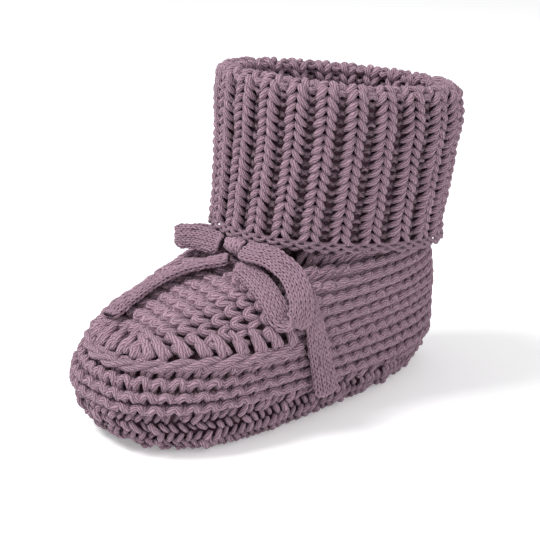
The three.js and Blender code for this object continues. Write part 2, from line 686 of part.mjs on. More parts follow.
const bootie = new THREE.Group();
bootie.name = 'knit_bootie';
bootie.add(piece('sole', buildSole(), 0x7f6674));
bootie.add(piece('upper', buildUpper(), 0x8f7583));
bootie.add(piece('vamp_seam', buildVampSeam(), 0x957b89));
bootie.add(piece('tie_band', buildTieBand(), 0x87707d));
bootie.add(piece('cuff', buildCuff(), 0x8b7180));
bootie.add(piece('tie_knot', buildKnot(), 0x8f7784));
for (const [name, route] of Object.entries(cordRoutes)) {
  bootie.add(piece(name, buildCord(route), 0x947b89));
}

export default bootie;
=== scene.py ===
import math
import bpy
import numpy as np
from mathutils import Matrix, Vector


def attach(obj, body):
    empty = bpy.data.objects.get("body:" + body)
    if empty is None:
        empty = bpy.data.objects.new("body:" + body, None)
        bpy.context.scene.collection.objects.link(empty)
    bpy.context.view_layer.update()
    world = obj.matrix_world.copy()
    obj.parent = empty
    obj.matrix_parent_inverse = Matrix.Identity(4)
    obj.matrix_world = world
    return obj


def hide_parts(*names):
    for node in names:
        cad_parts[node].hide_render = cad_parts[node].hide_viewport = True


# Knit baby bootie. Lengths below are millimetres unless a line says metres, and meshes are made in metres.
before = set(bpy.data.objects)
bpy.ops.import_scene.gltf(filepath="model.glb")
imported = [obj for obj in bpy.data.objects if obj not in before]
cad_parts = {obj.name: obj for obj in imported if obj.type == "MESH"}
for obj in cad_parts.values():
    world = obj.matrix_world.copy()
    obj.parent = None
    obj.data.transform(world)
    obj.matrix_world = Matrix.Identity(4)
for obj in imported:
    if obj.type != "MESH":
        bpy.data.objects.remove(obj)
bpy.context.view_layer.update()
mm = 0.001
fullTurn = 2 * math.pi
rng = np.random.default_rng(11)

# Camera (metres, degrees)
cameraPlace = {"azimuth": 51.615, "elevation": 18.347, "distance": 0.320664, "roll": 0.761,
               "target": (0.0, 0.000616, 0.033423), "lens": 82.43, "sensor": 36.0}


def makeCamera(settings):
    around, above = math.radians(settings["azimuth"]), math.radians(settings["elevation"])
    back = Vector((math.sin(around) * math.cos(above), -math.cos(around) * math.cos(above), math.sin(above)))
    right = Vector((math.cos(around), math.sin(around), 0))
    up = back.cross(right)
    roll = math.radians(settings["roll"])
    rolledRight = right * math.cos(roll) + up * math.sin(roll)
    rolledUp = up * math.cos(roll) - right * math.sin(roll)
    data = bpy.data.cameras.new("bootieCamera")
    data.lens = settings["lens"]
    data.sensor_width = settings["sensor"]
    camera = bpy.data.objects.new("bootieCamera", data)
    bpy.context.scene.collection.objects.link(camera)
    place = Vector(settings["target"]) + back * settings["distance"]
    camera.matrix_world = Matrix((
        (rolledRight.x, rolledUp.x, back.x, place.x),
        (rolledRight.y, rolledUp.y, back.y, place.y),
        (rolledRight.z, rolledUp.z, back.z, place.z),
        (0, 0, 0, 1)))
    bpy.context.scene.camera = camera


makeCamera(cameraPlace)
print("camera placed")


# Node helpers; a value is a number, a colour or another node's output
def wire(tree, value, socket):
    if isinstance(value, bpy.types.NodeSocket):
        tree.links.new(value, socket)
    else:
        socket.default_value = value


def mathNode(tree, operation, *values, clamp=False):
    node = tree.nodes.new("ShaderNodeMath")
    node.operation = operation
    node.use_clamp = clamp
    for value, socket in zip(values, node.inputs):
        wire(tree, value, socket)
    return node.outputs[0]


def wayNode(tree, x, y):
    node = tree.nodes.new("ShaderNodeCombineXYZ")
    wire(tree, x, node.inputs[0])
    wire(tree, y, node.inputs[1])
    return node.outputs[0]


def noiseNode(tree, way, scale, detail):
    node = tree.nodes.new("ShaderNodeTexNoise")
    node.inputs["Detail"].default_value = detail
    wire(tree, scale, node.inputs["Scale"])
    wire(tree, way, node.inputs["Vector"])
    return node.outputs["Fac"]


def mixNode(tree, share, first, second):
    node = tree.nodes.new("ShaderNodeMix")
    node.data_type = "RGBA"
    wire(tree, share, node.inputs[0])
    wire(tree, first, node.inputs[6])
    wire(tree, second, node.inputs[7])
    return node.outputs[2]


# Shader group shared by the yarns
pliedLook = {"wanderFast": 4.0, "wanderScale": 0.7, "wander": 2.2, "fibreSlow": 0.35, "fibreFast": 7.0,
             "fibreScale": 1.6, "fibreShade": 0.4, "patchShade": 0.1, "fibreHeight": 0.8, "rough": 0.95,
             "smoother": -0.18}
# The deep colour is painted shade in the ply grooves, the hollow colour painted shade in the hollows between
# loops
pliedInputs = (("Light", "Color", (0.5, 0.4, 0.45, 1)), ("Deep", "Color", (0.3, 0.2, 0.25, 1)),
               ("HollowShade", "Color", (0.1, 0.05, 0.07, 1)), ("Plies", "Float", 4.0), ("Twist", "Float", 0.25),
               ("GrooveShade", "Float", 0.5), ("Patch", "Float", 90.0))
pliedOutputs = (("Color", "Color"), ("Roughness", "Float"), ("Height", "Float"))


def buildYarnGroup(look):
    group = bpy.data.node_groups.new("pliedYarn", "ShaderNodeTree")
    for label, kind, value in pliedInputs:
        socket = group.interface.new_socket(label, in_out="INPUT", socket_type="NodeSocket" + kind)
        socket.default_value = value
    for label, kind in pliedOutputs:
        group.interface.new_socket(label, in_out="OUTPUT", socket_type="NodeSocket" + kind)
    given = group.nodes.new("NodeGroupInput").outputs
    result = group.nodes.new("NodeGroupOutput").inputs

    def times(first, second):
        return mathNode(group, "MULTIPLY", first, second)

    yarnMap = group.nodes.new("ShaderNodeUVMap")
    yarnMap.uv_map = "yarn"
    split = group.nodes.new("ShaderNodeSeparateXYZ")
    wire(group, yarnMap.outputs["UV"], split.inputs[0])
    along, around = split.outputs["X"], split.outputs["Y"]
    # plies wind round the strand: the angle times their number plus the way along times the twist
    phase = mathNode(group, "ADD", times(around, given["Plies"]), times(along, given["Twist"]))
    # the plies wander a little
    wanderWay = wayNode(group, along, times(around, look["wanderFast"]))
    wander = noiseNode(group, wanderWay, look["wanderScale"], 2.0)
    wandered = mathNode(group, "MULTIPLY_ADD", wander, look["wander"], phase)
    ridge = mathNode(group, "ABSOLUTE", mathNode(group, "SINE", times(wandered, math.pi)))
    # fine fibres run with the plies
    fibreWay = wayNode(group, times(along, look["fibreSlow"]), times(phase, look["fibreFast"]))
    fibre = noiseNode(group, fibreWay, look["fibreScale"], 3.0)
    # broad unevenness of the dye over the whole cloth
    place = group.nodes.new("ShaderNodeTexCoord").outputs["Object"]
    patch = noiseNode(group, place, given["Patch"], 2.0)
    # painted shade: the grooves between plies are painted towards the deep colour; fibres and dye patches
    # vary the tone at random
    shade = mathNode(group, "ADD", times(ridge, given["GrooveShade"]), times(fibre, look["fibreShade"]))
    shade = mathNode(group, "ADD", shade, times(patch, look["patchShade"]), clamp=True)
    top = mixNode(group, shade, given["Deep"], given["Light"])
    # painted shade: the hollows between loops, marked by each point's height, are darker and redder than the
    # tops
    paintedShadeMark = group.nodes.new("ShaderNodeAttribute")
    paintedShadeMark.attribute_name = "paintedShadeMark"
    wire(group, mixNode(group, paintedShadeMark.outputs["Fac"], given["HollowShade"], top), result["Color"])
    wire(group, mathNode(group, "MULTIPLY_ADD", fibre, look["smoother"], look["rough"]), result["Roughness"])
    wire(group, mathNode(group, "ADD", ridge, times(fibre, look["fibreHeight"])), result["Height"])
    return group


yarnGroup = buildYarnGroup(pliedLook)


def newMaterial(name, values):
    material = bpy.data.materials.new(name)
    material.use_nodes = True
    shader = material.node_tree.nodes["Principled BSDF"].inputs
    for label, value in values.items():
        shader[label].default_value = value
    return material, material.node_tree, shader


def addBump(tree, shader, height, depth, strength=1.0):
    bump = tree.nodes.new("ShaderNodeBump")
    bump.inputs["Strength"].default_value = strength
    bump.inputs["Distance"].default_value = depth * mm
    wire(tree, height, bump.inputs["Height"])
    wire(tree, bump.outputs["Normal"], shader["Normal"])


def yarnMaterial(name, look):
    material, tree, shader = newMaterial(name, {
        "Sheen Weight": look["sheen"], "Sheen Roughness": 0.5, "Specular IOR Level": 0.25})
    yarn = tree.nodes.new("ShaderNodeGroup")
    yarn.node_tree = yarnGroup
    for label in ("Light", "Deep", "HollowShade"):
        yarn.inputs[label].default_value = (*look[label.lower()], 1)
    for label in ("Plies", "Twist", "GrooveShade"):
        yarn.inputs[label].default_value = look[label.lower()]
    wire(tree, yarn.outputs["Color"], shader["Base Color"])
    wire(tree, yarn.outputs["Roughness"], shader["Roughness"])
    addBump(tree, shader, yarn.outputs["Height"], look["bumpDepth"], look["bump"])
    return material


# Cloth in shadow: fuzz dims its colour to this share, over a bump this deep
shadowLook = {"dim": 0.6, "bumpDepth": 0.3, "rough": 0.95, "specular": 0.1}


def shadowMaterial(name, color, scale):
    material, tree, shader = newMaterial(name, {
        "Specular IOR Level": shadowLook["specular"], "Roughness": shadowLook["rough"]})
    place = tree.nodes.new("ShaderNodeTexCoord").outputs["Object"]
    fuzz = noiseNode(tree, place, scale, 4.0)
    dimmed = (*[value * shadowLook["dim"] for value in color], 1)
    wire(tree, mixNode(tree, fuzz, dimmed, (*color, 1)), shader["Base Color"])
    addBump(tree, shader, fuzz, shadowLook["bumpDepth"])
    return material


# In each look, deep and hollow are painted shade colours, and groove sets how dark the ply grooves are
# painted
clothLook = {"light": (0.435, 0.275, 0.35), "deep": (0.06, 0.022, 0.035), "hollowshade": (0.035, 0.010, 0.018),
             "plies": 8, "twist": 0.62, "grooveshade": 0.9, "bump": 1.0, "bumpDepth": 0.4, "sheen": 0.1}
tieLook = {"light": (0.37, 0.245, 0.31), "deep": (0.15, 0.078, 0.108), "hollowshade": (0.035, 0.012, 0.02),
           "plies": 4, "twist": 0.6, "grooveshade": 0.5, "bump": 0.6, "bumpDepth": 0.12, "sheen": 0.1}
footYarn = yarnMaterial("footYarn", clothLook)
cuffYarn = yarnMaterial("cuffYarn", clothLook)
tieYarn = yarnMaterial("tieYarn", tieLook)
# The core behind the loops is painted near black, as painted shade
paintedShadeYarn = shadowMaterial("paintedShadeYarn", (0.06, 0.028, 0.04), 900)
insideYarn = shadowMaterial("insideYarn", (0.24, 0.155, 0.195), 420)
print("yarn materials made")


# Yarn as tubes along knitted paths
def unit(vectors):
    return vectors / np.maximum(np.linalg.norm(vectors, axis=-1, keepdims=True), 1e-9)


def runAlong(points):
    return np.concatenate([[0], np.cumsum(np.linalg.norm(np.diff(points, axis=0), axis=1))])


def resample(at, run, values):
    return np.stack([np.interp(at, run, column) for column in values.T], -1)


def evenTurns(count, whole=fullTurn):
    return np.linspace(0, whole, count + 1)[:-1]


# Collects the strands and sheets of one piece, with each point's height above the cloth, which sets its
# painted hollow shade
class YarnPiece:
    def __init__(self):
        self.points, self.heights, self.quads, self.marks, self.count = [], [], [], [], 0

    def take(self, points, heights):
        self.points.append(points.reshape(-1, 3))
        self.heights.append(np.broadcast_to(heights, points.shape[:-1]).ravel())
        ids = np.arange(points.size // 3).reshape(points.shape[:-1]) + self.count
        self.count += ids.size
        return ids

    def addSheet(self, rings, height=0.0):
        ids = self.take(rings, height)
        low, high = ids[:-1], ids[1:]
        quads = np.stack([low, high, np.roll(high, -1, 1), np.roll(low, -1, 1)], -1).reshape(-1, 4)
        self.quads.append(quads)
        self.marks.append(np.zeros((quads.size, 2)))
        return ids

    def addCaps(self, rings):
        for k in range(1, rings.shape[1] - 2, 2):
            self.quads.append(rings[:, [0, k, k + 1, k + 2]])
            self.marks.append(np.zeros((4 * len(rings), 2)))

    # each strand starts at its own place in the yarn's pattern, somewhere in its first 60 millimetres
    def addStrands(self, paths, outward, radius, heights, sides=6, closed=False, pattern=60):
        before, after = np.roll(paths, 1, 1), np.roll(paths, -1, 1)
        tangent = after - before
        if not closed:
            tangent[:, 0] = paths[:, 1] - paths[:, 0]
            tangent[:, -1] = paths[:, -1] - paths[:, -2]
        tangent = unit(tangent)
        side = unit(np.cross(tangent, outward))
        up = np.cross(side, tangent)
        turns = np.arange(sides) * fullTurn / sides
        radii = np.broadcast_to(np.asarray(radius, float), paths.shape[:2])[..., None]
        rings = paths[:, :, None] + radii[..., None] * (
            np.cos(turns)[:, None] * side[:, :, None] + np.sin(turns)[:, None] * up[:, :, None])
        ids = self.take(rings, np.asarray(heights)[..., None] + radii * np.sin(turns))
        steps = np.linalg.norm(after - paths, axis=-1)
        run = np.concatenate([np.zeros((len(paths), 1)), np.cumsum(steps, 1)], 1)
        run = run + rng.uniform(0, pattern, (len(paths), 1))
        low, high = (ids, np.roll(ids, -1, 1)) if closed else (ids[:, :-1], ids[:, 1:])
        self.quads.append(np.stack([low, high, np.roll(high, -1, 2), np.roll(low, -1, 2)], -1).reshape(-1, 4))
        spans = low.shape
        nearMark = np.broadcast_to(run[:, :spans[1], None], spans)
        farMark = np.broadcast_to(run[:, 1:spans[1] + 1, None], spans)
        roundMark = np.broadcast_to(np.arange(sides) / sides, spans)
        nextMark = roundMark + 1 / sides
        corners = [nearMark, roundMark, farMark, roundMark, farMark, nextMark, nearMark, nextMark]
        self.marks.append(np.stack(corners, -1).reshape(-1, 2))
        if not closed:
            self.addCaps(ids[:, 0])
            self.addCaps(ids[:, -1, ::-1])

    def make(self, name, material, low=-1.0, high=1.0):
        points = np.concatenate(self.points) * mm
        quads = np.concatenate(self.quads)
        marks = np.concatenate(self.marks)
        mesh = bpy.data.meshes.new(name)
        mesh.vertices.add(len(points))
        mesh.vertices.foreach_set("co", points.astype(np.float32).ravel())
        mesh.loops.add(quads.size)
        mesh.loops.foreach_set("vertex_index", quads.astype(np.int32).ravel())
        mesh.polygons.add(len(quads))
        mesh.polygons.foreach_set("loop_start", np.arange(0, quads.size, 4, dtype=np.int32))
        mesh.update(calc_edges=True)
        layer = mesh.uv_layers.new(name="yarn")
        layer.data.foreach_set("uv", marks.astype(np.float32).ravel())
        # painted shade: a point's height between low and high sets how far its colour goes towards the hollow
        # colour
        share = np.clip((np.concatenate(self.heights) - low) / (high - low), 0, 1)
        paintedShadeMark = mesh.attributes.new("paintedShadeMark", "FLOAT", "POINT")
        paintedShadeMark.data.foreach_set("value", (share * share * (3 - 2 * share)).astype(np.float32))
        mesh.polygons.foreach_set("use_smooth", np.ones(len(quads), dtype=bool))
        mesh.materials.append(material)
        mesh.validate()
        obj = bpy.data.objects.new(name, mesh)
        bpy.context.scene.collection.objects.link(obj)
        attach(obj, "root")
        print(name, 2 * len(quads), "triangles")
        return obj


# Loops differ a little in lift, and calm ones lie flatter and fatter
loopTouch = {"lift": 0.08, "calmDepth": 0.85, "calmRadius": 0.3}


# One row of loops, drawn through to the front by 1 or to the back by -1, the other way from the next row
def knitCourse(piece, place, row, edges, through, knit, closed):
    count, steps = len(edges) - 1, knit["steps"]
    turn = np.broadcast_to((np.arange(steps) * fullTurn / steps)[None], (count, steps))
    width = np.diff(edges)[:, None]
    tall = knit["tall"] * (1 + rng.normal(0, knit["uneven"], (count, 1)))
    sway = knit["omega"] * np.sin(2 * turn) - knit["head"] * np.sin(turn)
    u = edges[:-1, None] + width * (turn / fullTurn + sway)
    v = row - tall * np.cos(turn)
    near = np.cos(turn) ** 2
    depth = knit["deep"] * through * (np.where(np.cos(turn) > 0, -near, near) + (1 - near))
    calm = knit["calm"](u) if "calm" in knit else 0.0
    depth = depth * (1 - loopTouch["calmDepth"] * calm) + rng.normal(0, loopTouch["lift"], (count, 1))
    fat = 1 + knit["fatHead"] * np.clip(-np.cos(turn), 0, 1) ** 2
    radius = knit["radius"] * fat * (1 + loopTouch["calmRadius"] * calm)
    u, v, depth, radius = u.ravel(), v.ravel(), depth.ravel(), radius.ravel()
    if not closed:
        u, v = np.append(u, edges[-1]), np.append(v, row - knit["tall"])
        depth, radius = np.append(depth, depth[0]), np.append(radius, radius[0])
    spot, outward, relief = place(u, v)
    height = depth + relief
    path = spot + outward * (height + knit["sink"])[:, None]
    piece.addStrands(path[None], outward[None], radius[None], height[None], knit["sides"], closed)


# Two rows for each ridge: heads of the first and feet of the second stand out at its crest
def knitRidge(piece, place, crest, edges, knit, closed=False):
    knitCourse(piece, place, crest + knit["gap"] - knit["tall"], edges, 1.0, knit, closed)
    knitCourse(piece, place, crest - knit["gap"] + knit["tall"], edges, -1.0, knit, closed)
# The same short strand at many places; shape holds across, along, height and radius at each step
def strandField(piece, place, middles, levels, shape, uneven, sides, sink=0.0, grow=1.0):
    across, along, height, radius = shape
    count, steps = len(middles), len(across)
    vary = 1 + rng.normal(0, uneven, (count, 4))
    u = middles[:, None] + across * vary[:, :1]
    v = levels[:, None] + along * vary[:, 1:2]
    spot, outward, relief = place(u.ravel(), v.ravel())
    lift = (height + (vary[:, 2:3] - 1) * 2).ravel() + relief
    path = (spot + outward * (lift + sink)[:, None]).reshape(count, steps, 3)
    radii = radius * vary[:, 3:4] * grow
    piece.addStrands(path, outward.reshape(count, steps, 3), radii, lift.reshape(count, steps), sides)


# Slanted leg, fat in the middle and tucked in at both ends; across runs from inner to outer
def legShape(leg, side):
    s = np.linspace(0, 1, leg["steps"])
    swell = np.sin(math.pi * (leg["enter"] + (leg["leave"] - leg["enter"]) * s))
    return (side * (leg["inner"] + (leg["outer"] - leg["inner"]) * s ** leg.get("curl", 1.0)),
            leg["tall"] * (s - 0.5), leg["sink"] + leg["deep"] * swell,
            leg["radius"] * (leg["slim"] + (1 - leg["slim"]) * swell ** 0.7))


# Level bead bowed up or down, with its ends tucked in
def beadShape(bead, bow):
    s = np.linspace(-1, 1, bead["steps"])
    swell = np.cos(s * math.pi / 2)
    return (bead["half"] * s, bow * bead["bow"] * (swell - 0.5), bead["sink"] + bead["deep"] * swell,
            bead["radius"] * (bead["slim"] + (1 - bead["slim"]) * swell ** 0.6))


def setOut(columns, rows):
    return np.repeat(np.asarray(columns, float), len(rows)), np.tile(np.asarray(rows, float), len(columns))


# Form of the foot, from the same sizes and shares as the solids
footForm = {"toeReach": 53.7, "heelReach": 53.6, "ballHalf": 25.2, "soleTop": 8.7, "upperFoot": 9.0,
            "seam": 22.0, "collar": 43.3, "ankle": 49.0, "spring": 1.6, "springStart": -30.0,
            "springRun": 25.0, "rise": 2.6, "riseFrom": 42.0, "riseTo": -22.0, "dip": 3.3,
            "dipStart": -34.0, "dipRun": 18.0, "dipFade": 12.0, "joinY": -11.0, "ankleJoinY": -1.0,
            "lastRowY": -48.0, "firstCrownY": -8.8, "lastCrownY": -48.9}
footColumns = {"toe": 1, "heel": 2, "half": 3, "wide": 4, "front": 5, "back": 6, "keep": 7}
footTable = np.array([
    # height, toe, heel, half, wide, front, back, keep
    (0, -0.855, 0.877, 0.794, -0.331, 2.3, 2.4, 0.74),
    (1.2, -0.919, 0.933, 0.889, -0.331, 2.3, 2.4, 0.79),
    (3.5, -0.971, 0.957, 0.96, -0.331, 2.35, 2.4, 0.83),
    (8.7, -1, 0.985, 1, -0.331, 2.4, 2.5, 0.86),
    (14, -0.996, 0.996, 0.992, -0.313, 2.4, 2.5, 0.87),
    (22, -0.941, 1, 0.96, -0.257, 2.2, 2.5, 0.89),
    (26, -0.82, 0.985, 0.968, -0.165, 2.15, 2.5, 0.91),
    (30.5, -0.651, 0.963, 0.964, -0.055, 2.1, 2.45, 0.94),
    (36, -0.377, 0.929, 0.937, 0.129, 2.1, 2.35, 0.97),
    (40.5, -0.169, 0.899, 0.889, 0.276, 2.15, 2.25, 0.99),
    (44, -0.11, 0.877, 0.849, 0.349, 2.15, 2.15, 1),
    (49, -0.096, 0.869, 0.833, 0.368, 2.15, 2.15, 1)], float)
footTable[:, 1:5] *= [footForm["toeReach"], footForm["heelReach"], footForm["ballHalf"], footForm["toeReach"]]


def tableSlopes(levels, values):
    rate = np.diff(values) / np.diff(levels)
    slope = np.zeros(len(levels))
    slope[0], slope[-1] = rate[0], rate[-1]
    before, after = rate[:-1], rate[1:]
    safe = np.where(before * after > 0, before + after, 1)
    slope[1:-1] = np.where(before * after > 0, 2 * before * after / safe, 0)
    return slope


footSlopes = {key: tableSlopes(footTable[:, 0], footTable[:, i]) for key, i in footColumns.items()}


def footValue(key, z):
    levels, values, slopes = footTable[:, 0], footTable[:, footColumns[key]], footSlopes[key]
    i = np.clip(np.searchsorted(levels, z, side="left") - 1, 0, len(levels) - 2)
    span = levels[i + 1] - levels[i]
    t = np.clip((z - levels[i]) / span, 0, 1)
    rise = t * t * (3 - 2 * t)
    return (values[i] * (1 - rise) + values[i + 1] * rise + t * (1 - t) ** 2 * span * slopes[i]
            + t * t * (t - 1) * span * slopes[i + 1])


def footPoint(angle, z):
    angle, z = np.broadcast_arrays(np.asarray(angle, float), np.asarray(z, float))
    c, s = np.cos(angle), np.sin(angle)
    wide, half = footValue("wide", z), footValue("half", z)
    roundness = np.where(c < 0, footValue("front", z), footValue("back", z))
    reach = np.abs(c) ** (2 / roundness)
    y = wide + np.where(c < 0, footValue("toe", z) - wide, footValue("heel", z) - wide) * reach
    narrow = np.where(c < 0, 1, 1 - (1 - footValue("keep", z)) * reach)
    x = half * narrow * np.sign(s) * np.abs(s) ** (2 / roundness)
    t = np.clip((footForm["springStart"] - y) / footForm["springRun"], 0, 1)
    front = np.clip((footForm["riseFrom"] - y) / (footForm["riseFrom"] - footForm["riseTo"]), 0, 1)
    tip = np.clip((footForm["dipStart"] - y) / footForm["dipRun"], 0, 1)
    top, seam = footForm["soleTop"], footForm["seam"]
    share = np.where(z < top, z / top, np.clip((seam - z) / (seam - top), 0, 1))
    near = np.where(z < seam, z / seam, np.clip(1 - (z - seam) / footForm["dipFade"], 0, 1))
    lift = (footForm["spring"] * t * t + footForm["rise"] * front * front * (3 - 2 * front) * share
            - footForm["dip"] * tip * tip * near)
    return np.stack([x, y, z + lift], -1)


# Small steps, in radians and in millimetres, that find which way the cloth faces
slight, little = 0.02, 0.3


def footOutward(angle, z):
    across = footPoint(angle + slight, z) - footPoint(angle - slight, z)
    above, below = np.minimum(z + little, footForm["ankle"]), np.maximum(z - little, 0)
    return unit(np.cross(footPoint(angle, above) - footPoint(angle, below), across))


def angleAt(y, z):
    toe, heel, wide = footValue("toe", z), footValue("heel", z), footValue("wide", z)
    backAngle = np.arccos(np.clip((y - wide) / (heel - wide), 0, 1) ** (footValue("back", z) / 2))
    frontAngle = np.arccos(-(np.clip((wide - y) / (wide - toe), 0, 1) ** (footValue("front", z) / 2)))
    return np.where(y > wide, backAngle, frontAngle)


# 0 along the sides, rising to 1 at the tip of the toe
def toeShare(angle):
    return np.clip((-np.cos(angle) - 0.25) / 0.75, 0, 1) ** 1.5


# Angles of evenly spaced places along a level, as a function of the share of the way, and the length
def evenAngles(z, start, end):
    angles = np.linspace(start, end, 721)
    run = runAlong(footPoint(angles, z))
    return lambda share: np.interp(share, run / run[-1], angles), run[-1]


# Band round the foot between sole and seam
bandKnit = {"stitches": 60, "ridges": 4, "level": 15.5, "tall": 1.7, "omega": 0.04, "head": 0.06, "deep": 0.8,
            "radius": 0.9, "fatHead": 0.1, "sides": 6, "steps": 14, "sink": -0.95, "gap": 0.55,
            "relief": (0.85, 0.75, 0.7, 0.4), "uneven": 0.07, "toeStretch": 0.34, "under": 1.4, "over": 1.5}


def buildBand(knit):
    piece = YarnPiece()
    toAngle = evenAngles(knit["level"], 0, fullTurn)[0]
    low, high = footForm["upperFoot"], footForm["seam"]
    pitch = (high - low) / knit["ridges"]
    count = knit["stitches"]

    def place(u, v):
        angle = toAngle(np.mod(u, 1.0))
        nearest = np.clip(((v - low) / pitch).astype(int), 0, knit["ridges"] - 1)
        relief = np.array(knit["relief"])[nearest] * np.cos(fullTurn * ((v - low) / pitch - 0.5))
        z = low + (v - low) * (1 + knit["toeStretch"] * toeShare(angle))
        z = np.clip(z, low - knit["under"], high + knit["over"])
        return footPoint(angle, z), footOutward(angle, z), relief

    for k in range(knit["ridges"]):
        edges = np.linspace(0, 1, count + 1) + (k % 2) * 0.5 / count
        knitRidge(piece, place, low + pitch * (k + 0.5), edges, knit, True)
    return piece


# Quarter from the joins round the heel
quarterKnit = {"stitch": 4.1, "ridges": 7, "tall": 1.65, "omega": 0.05, "head": 0.07, "deep": 0.75,
               "radius": 0.88, "fatHead": 0.1, "sides": 6, "steps": 14, "sink": -1.0, "gap": 0.48,
               "relief": 0.65, "uneven": 0.07, "overlap": 0.02, "under": 1.5}


def buildQuarter(knit):
    piece = YarnPiece()
    low, high = footForm["seam"], footForm["collar"]
    pitch = (high - low) / knit["ridges"]

    def startAngle(z):
        lean = np.clip((z - low) / (high - low), 0, 1)
        return fullTurn - angleAt(footForm["joinY"] + (footForm["ankleJoinY"] - footForm["joinY"]) * lean, z)

    for index in range(knit["ridges"] + 1):
        crest = low + pitch * (index + 0.5)
        start = math.pi if index == knit["ridges"] else float(startAngle(np.array(crest)))
        start -= knit["overlap"]
        toAngle, length = evenAngles(crest, start, 2 * fullTurn - start)
        edges = np.linspace(0, 1, int(round(length / knit["stitch"])) + 1)

        def place(u, v):
            angle = toAngle(u)
            z = np.clip(v, low - knit["under"], footForm["ankle"])
            relief = knit["relief"] * np.cos(fullTurn * ((z - low) / pitch - 0.5))
            return footPoint(angle, z), footOutward(angle, z), relief

        knitRidge(piece, place, crest, edges, knit)
    return piece


# Vamp rows across the foot; heights along it are counted in rows, and its crown is calm
vampKnit = {"stitch": 3.6, "ridges": 12, "tall": 0.9, "omega": 0.04, "head": 0.08, "deep": 0.8, "radius": 0.9,
            "fatHead": 0.35, "sides": 6, "steps": 14, "sink": -0.95, "gap": 0.46, "relief": 0.45, "edge": 3.7,
            "uneven": 0.07, "calm": lambda u: np.clip(2.1 - np.abs(u - 0.52) * 7.0, 0, 1)}
vampNet = {"lastRow": 23, "rowStep": 0.25, "across": 80, "crownFrom": -50.2, "crownTo": -6.9}


# Places and outward directions on the vamp for row number and share of the way across
def vampGrid(net):
    last = net["lastRow"]
    rowNumbers = np.arange(0.0, last + 1.01, net["rowStep"])
    shares = np.linspace(0, 1, net["across"] + 1)
    up = 1 - (1 - np.linspace(0, 1, 61)) ** 2
    spots, ways, lengths = [], [], []
    for j in rowNumbers:
        endY = footForm["joinY"] + (footForm["lastRowY"] - footForm["joinY"]) * min(j, last + 0.9) / last
        crownRun = footForm["lastCrownY"] - footForm["firstCrownY"]
        crownY = footForm["firstCrownY"] + crownRun * (j - 1) / (last - 1)
        crownY = min(max(crownY, net["crownFrom"]), net["crownTo"])
        lowZ, highZ = footForm["seam"], footForm["collar"]
        while highZ - lowZ > 1e-5:
            middle = (lowZ + highZ) / 2
            if footValue("toe", np.array(middle)) < crownY:
                lowZ = middle
            else:
                highZ = middle
        z = footForm["seam"] + (lowZ - footForm["seam"]) * up
        angle = angleAt(endY + (crownY - endY) * up, z)
        angle[-1] = math.pi
        angle = np.concatenate([angle, fullTurn - angle[-2::-1]])
        z = np.concatenate([z, z[-2::-1]])
        line, way = footPoint(angle, z), footOutward(angle, z)
        run = runAlong(line)
        spots.append(resample(shares * run[-1], run, line))
        ways.append(resample(shares * run[-1], run, way))
        lengths.append(run[-1])
    return rowNumbers, np.array(spots), unit(np.array(ways)), np.array(lengths)


vampNumbers, vampSpots, vampWays, vampLengths = vampGrid(vampNet)


def onVamp(share, number):
    a = np.clip(number / vampNet["rowStep"], 0, len(vampNumbers) - 1.001)
    b = np.clip(share * vampNet["across"], 0, vampNet["across"] - 0.001)
    i, k = a.astype(int), b.astype(int)
    s, t = (a - i)[:, None], (b - k)[:, None]

    def blend(grid):
        return (grid[i, k] * (1 - s) * (1 - t) + grid[i + 1, k] * s * (1 - t)
                + grid[i, k + 1] * (1 - s) * t + grid[i + 1, k + 1] * s * t)

    return blend(vampSpots), unit(blend(vampWays))


def buildVamp(knit):
    piece = YarnPiece()

    def place(u, v):
        spot, outward = onVamp(u, v)
        return spot, outward, knit["relief"] * np.cos(math.pi * (v - 1))

    for ridge in range(knit["ridges"] - 1):
        crest = 2 * ridge + 1.0
        length = float(np.interp(crest, vampNumbers, vampLengths))
        edge = (knit["edge"] + (ridge % 2) * knit["stitch"] / 2) / length
        count = max(3, int(round(length * (1 - 2 * edge) / knit["stitch"])))
        knitRidge(piece, place, crest, np.linspace(edge, 1 - edge, count + 1), knit)
    return piece


# Seam round the vamp: upright and slanted legs above a thick strand twisted of two
seamKnit = {"stitch": 4.5, "level": 22.6, "sides": 8, "uneven": 0.06, "tipFrom": 0.8, "tipRun": 0.17,
            "upright": {"up": 2.8, "inner": -0.3, "outer": 0.3, "tall": 3.2, "sink": -0.5, "deep": 1.5,
                        "radius": 1.05, "slim": 0.6, "enter": 0.16, "leave": 0.88, "steps": 9},
            "slanted": {"up": 3.7, "inner": -1.9, "outer": 0.7, "tall": 4.1, "sink": -0.45, "deep": 1.45,
                        "radius": 1.02, "slim": 0.65, "enter": 0.2, "leave": 0.84, "steps": 9},
            "rope": {"out": 0.65, "radius": 0.98, "spread": 0.82, "pitch": 13.0, "past": 0.012, "steps": 260,
                     "toeThin": 0.2, "tall": 1.05, "deep": 0.7, "height": 0.9, "swing": 0.5}}


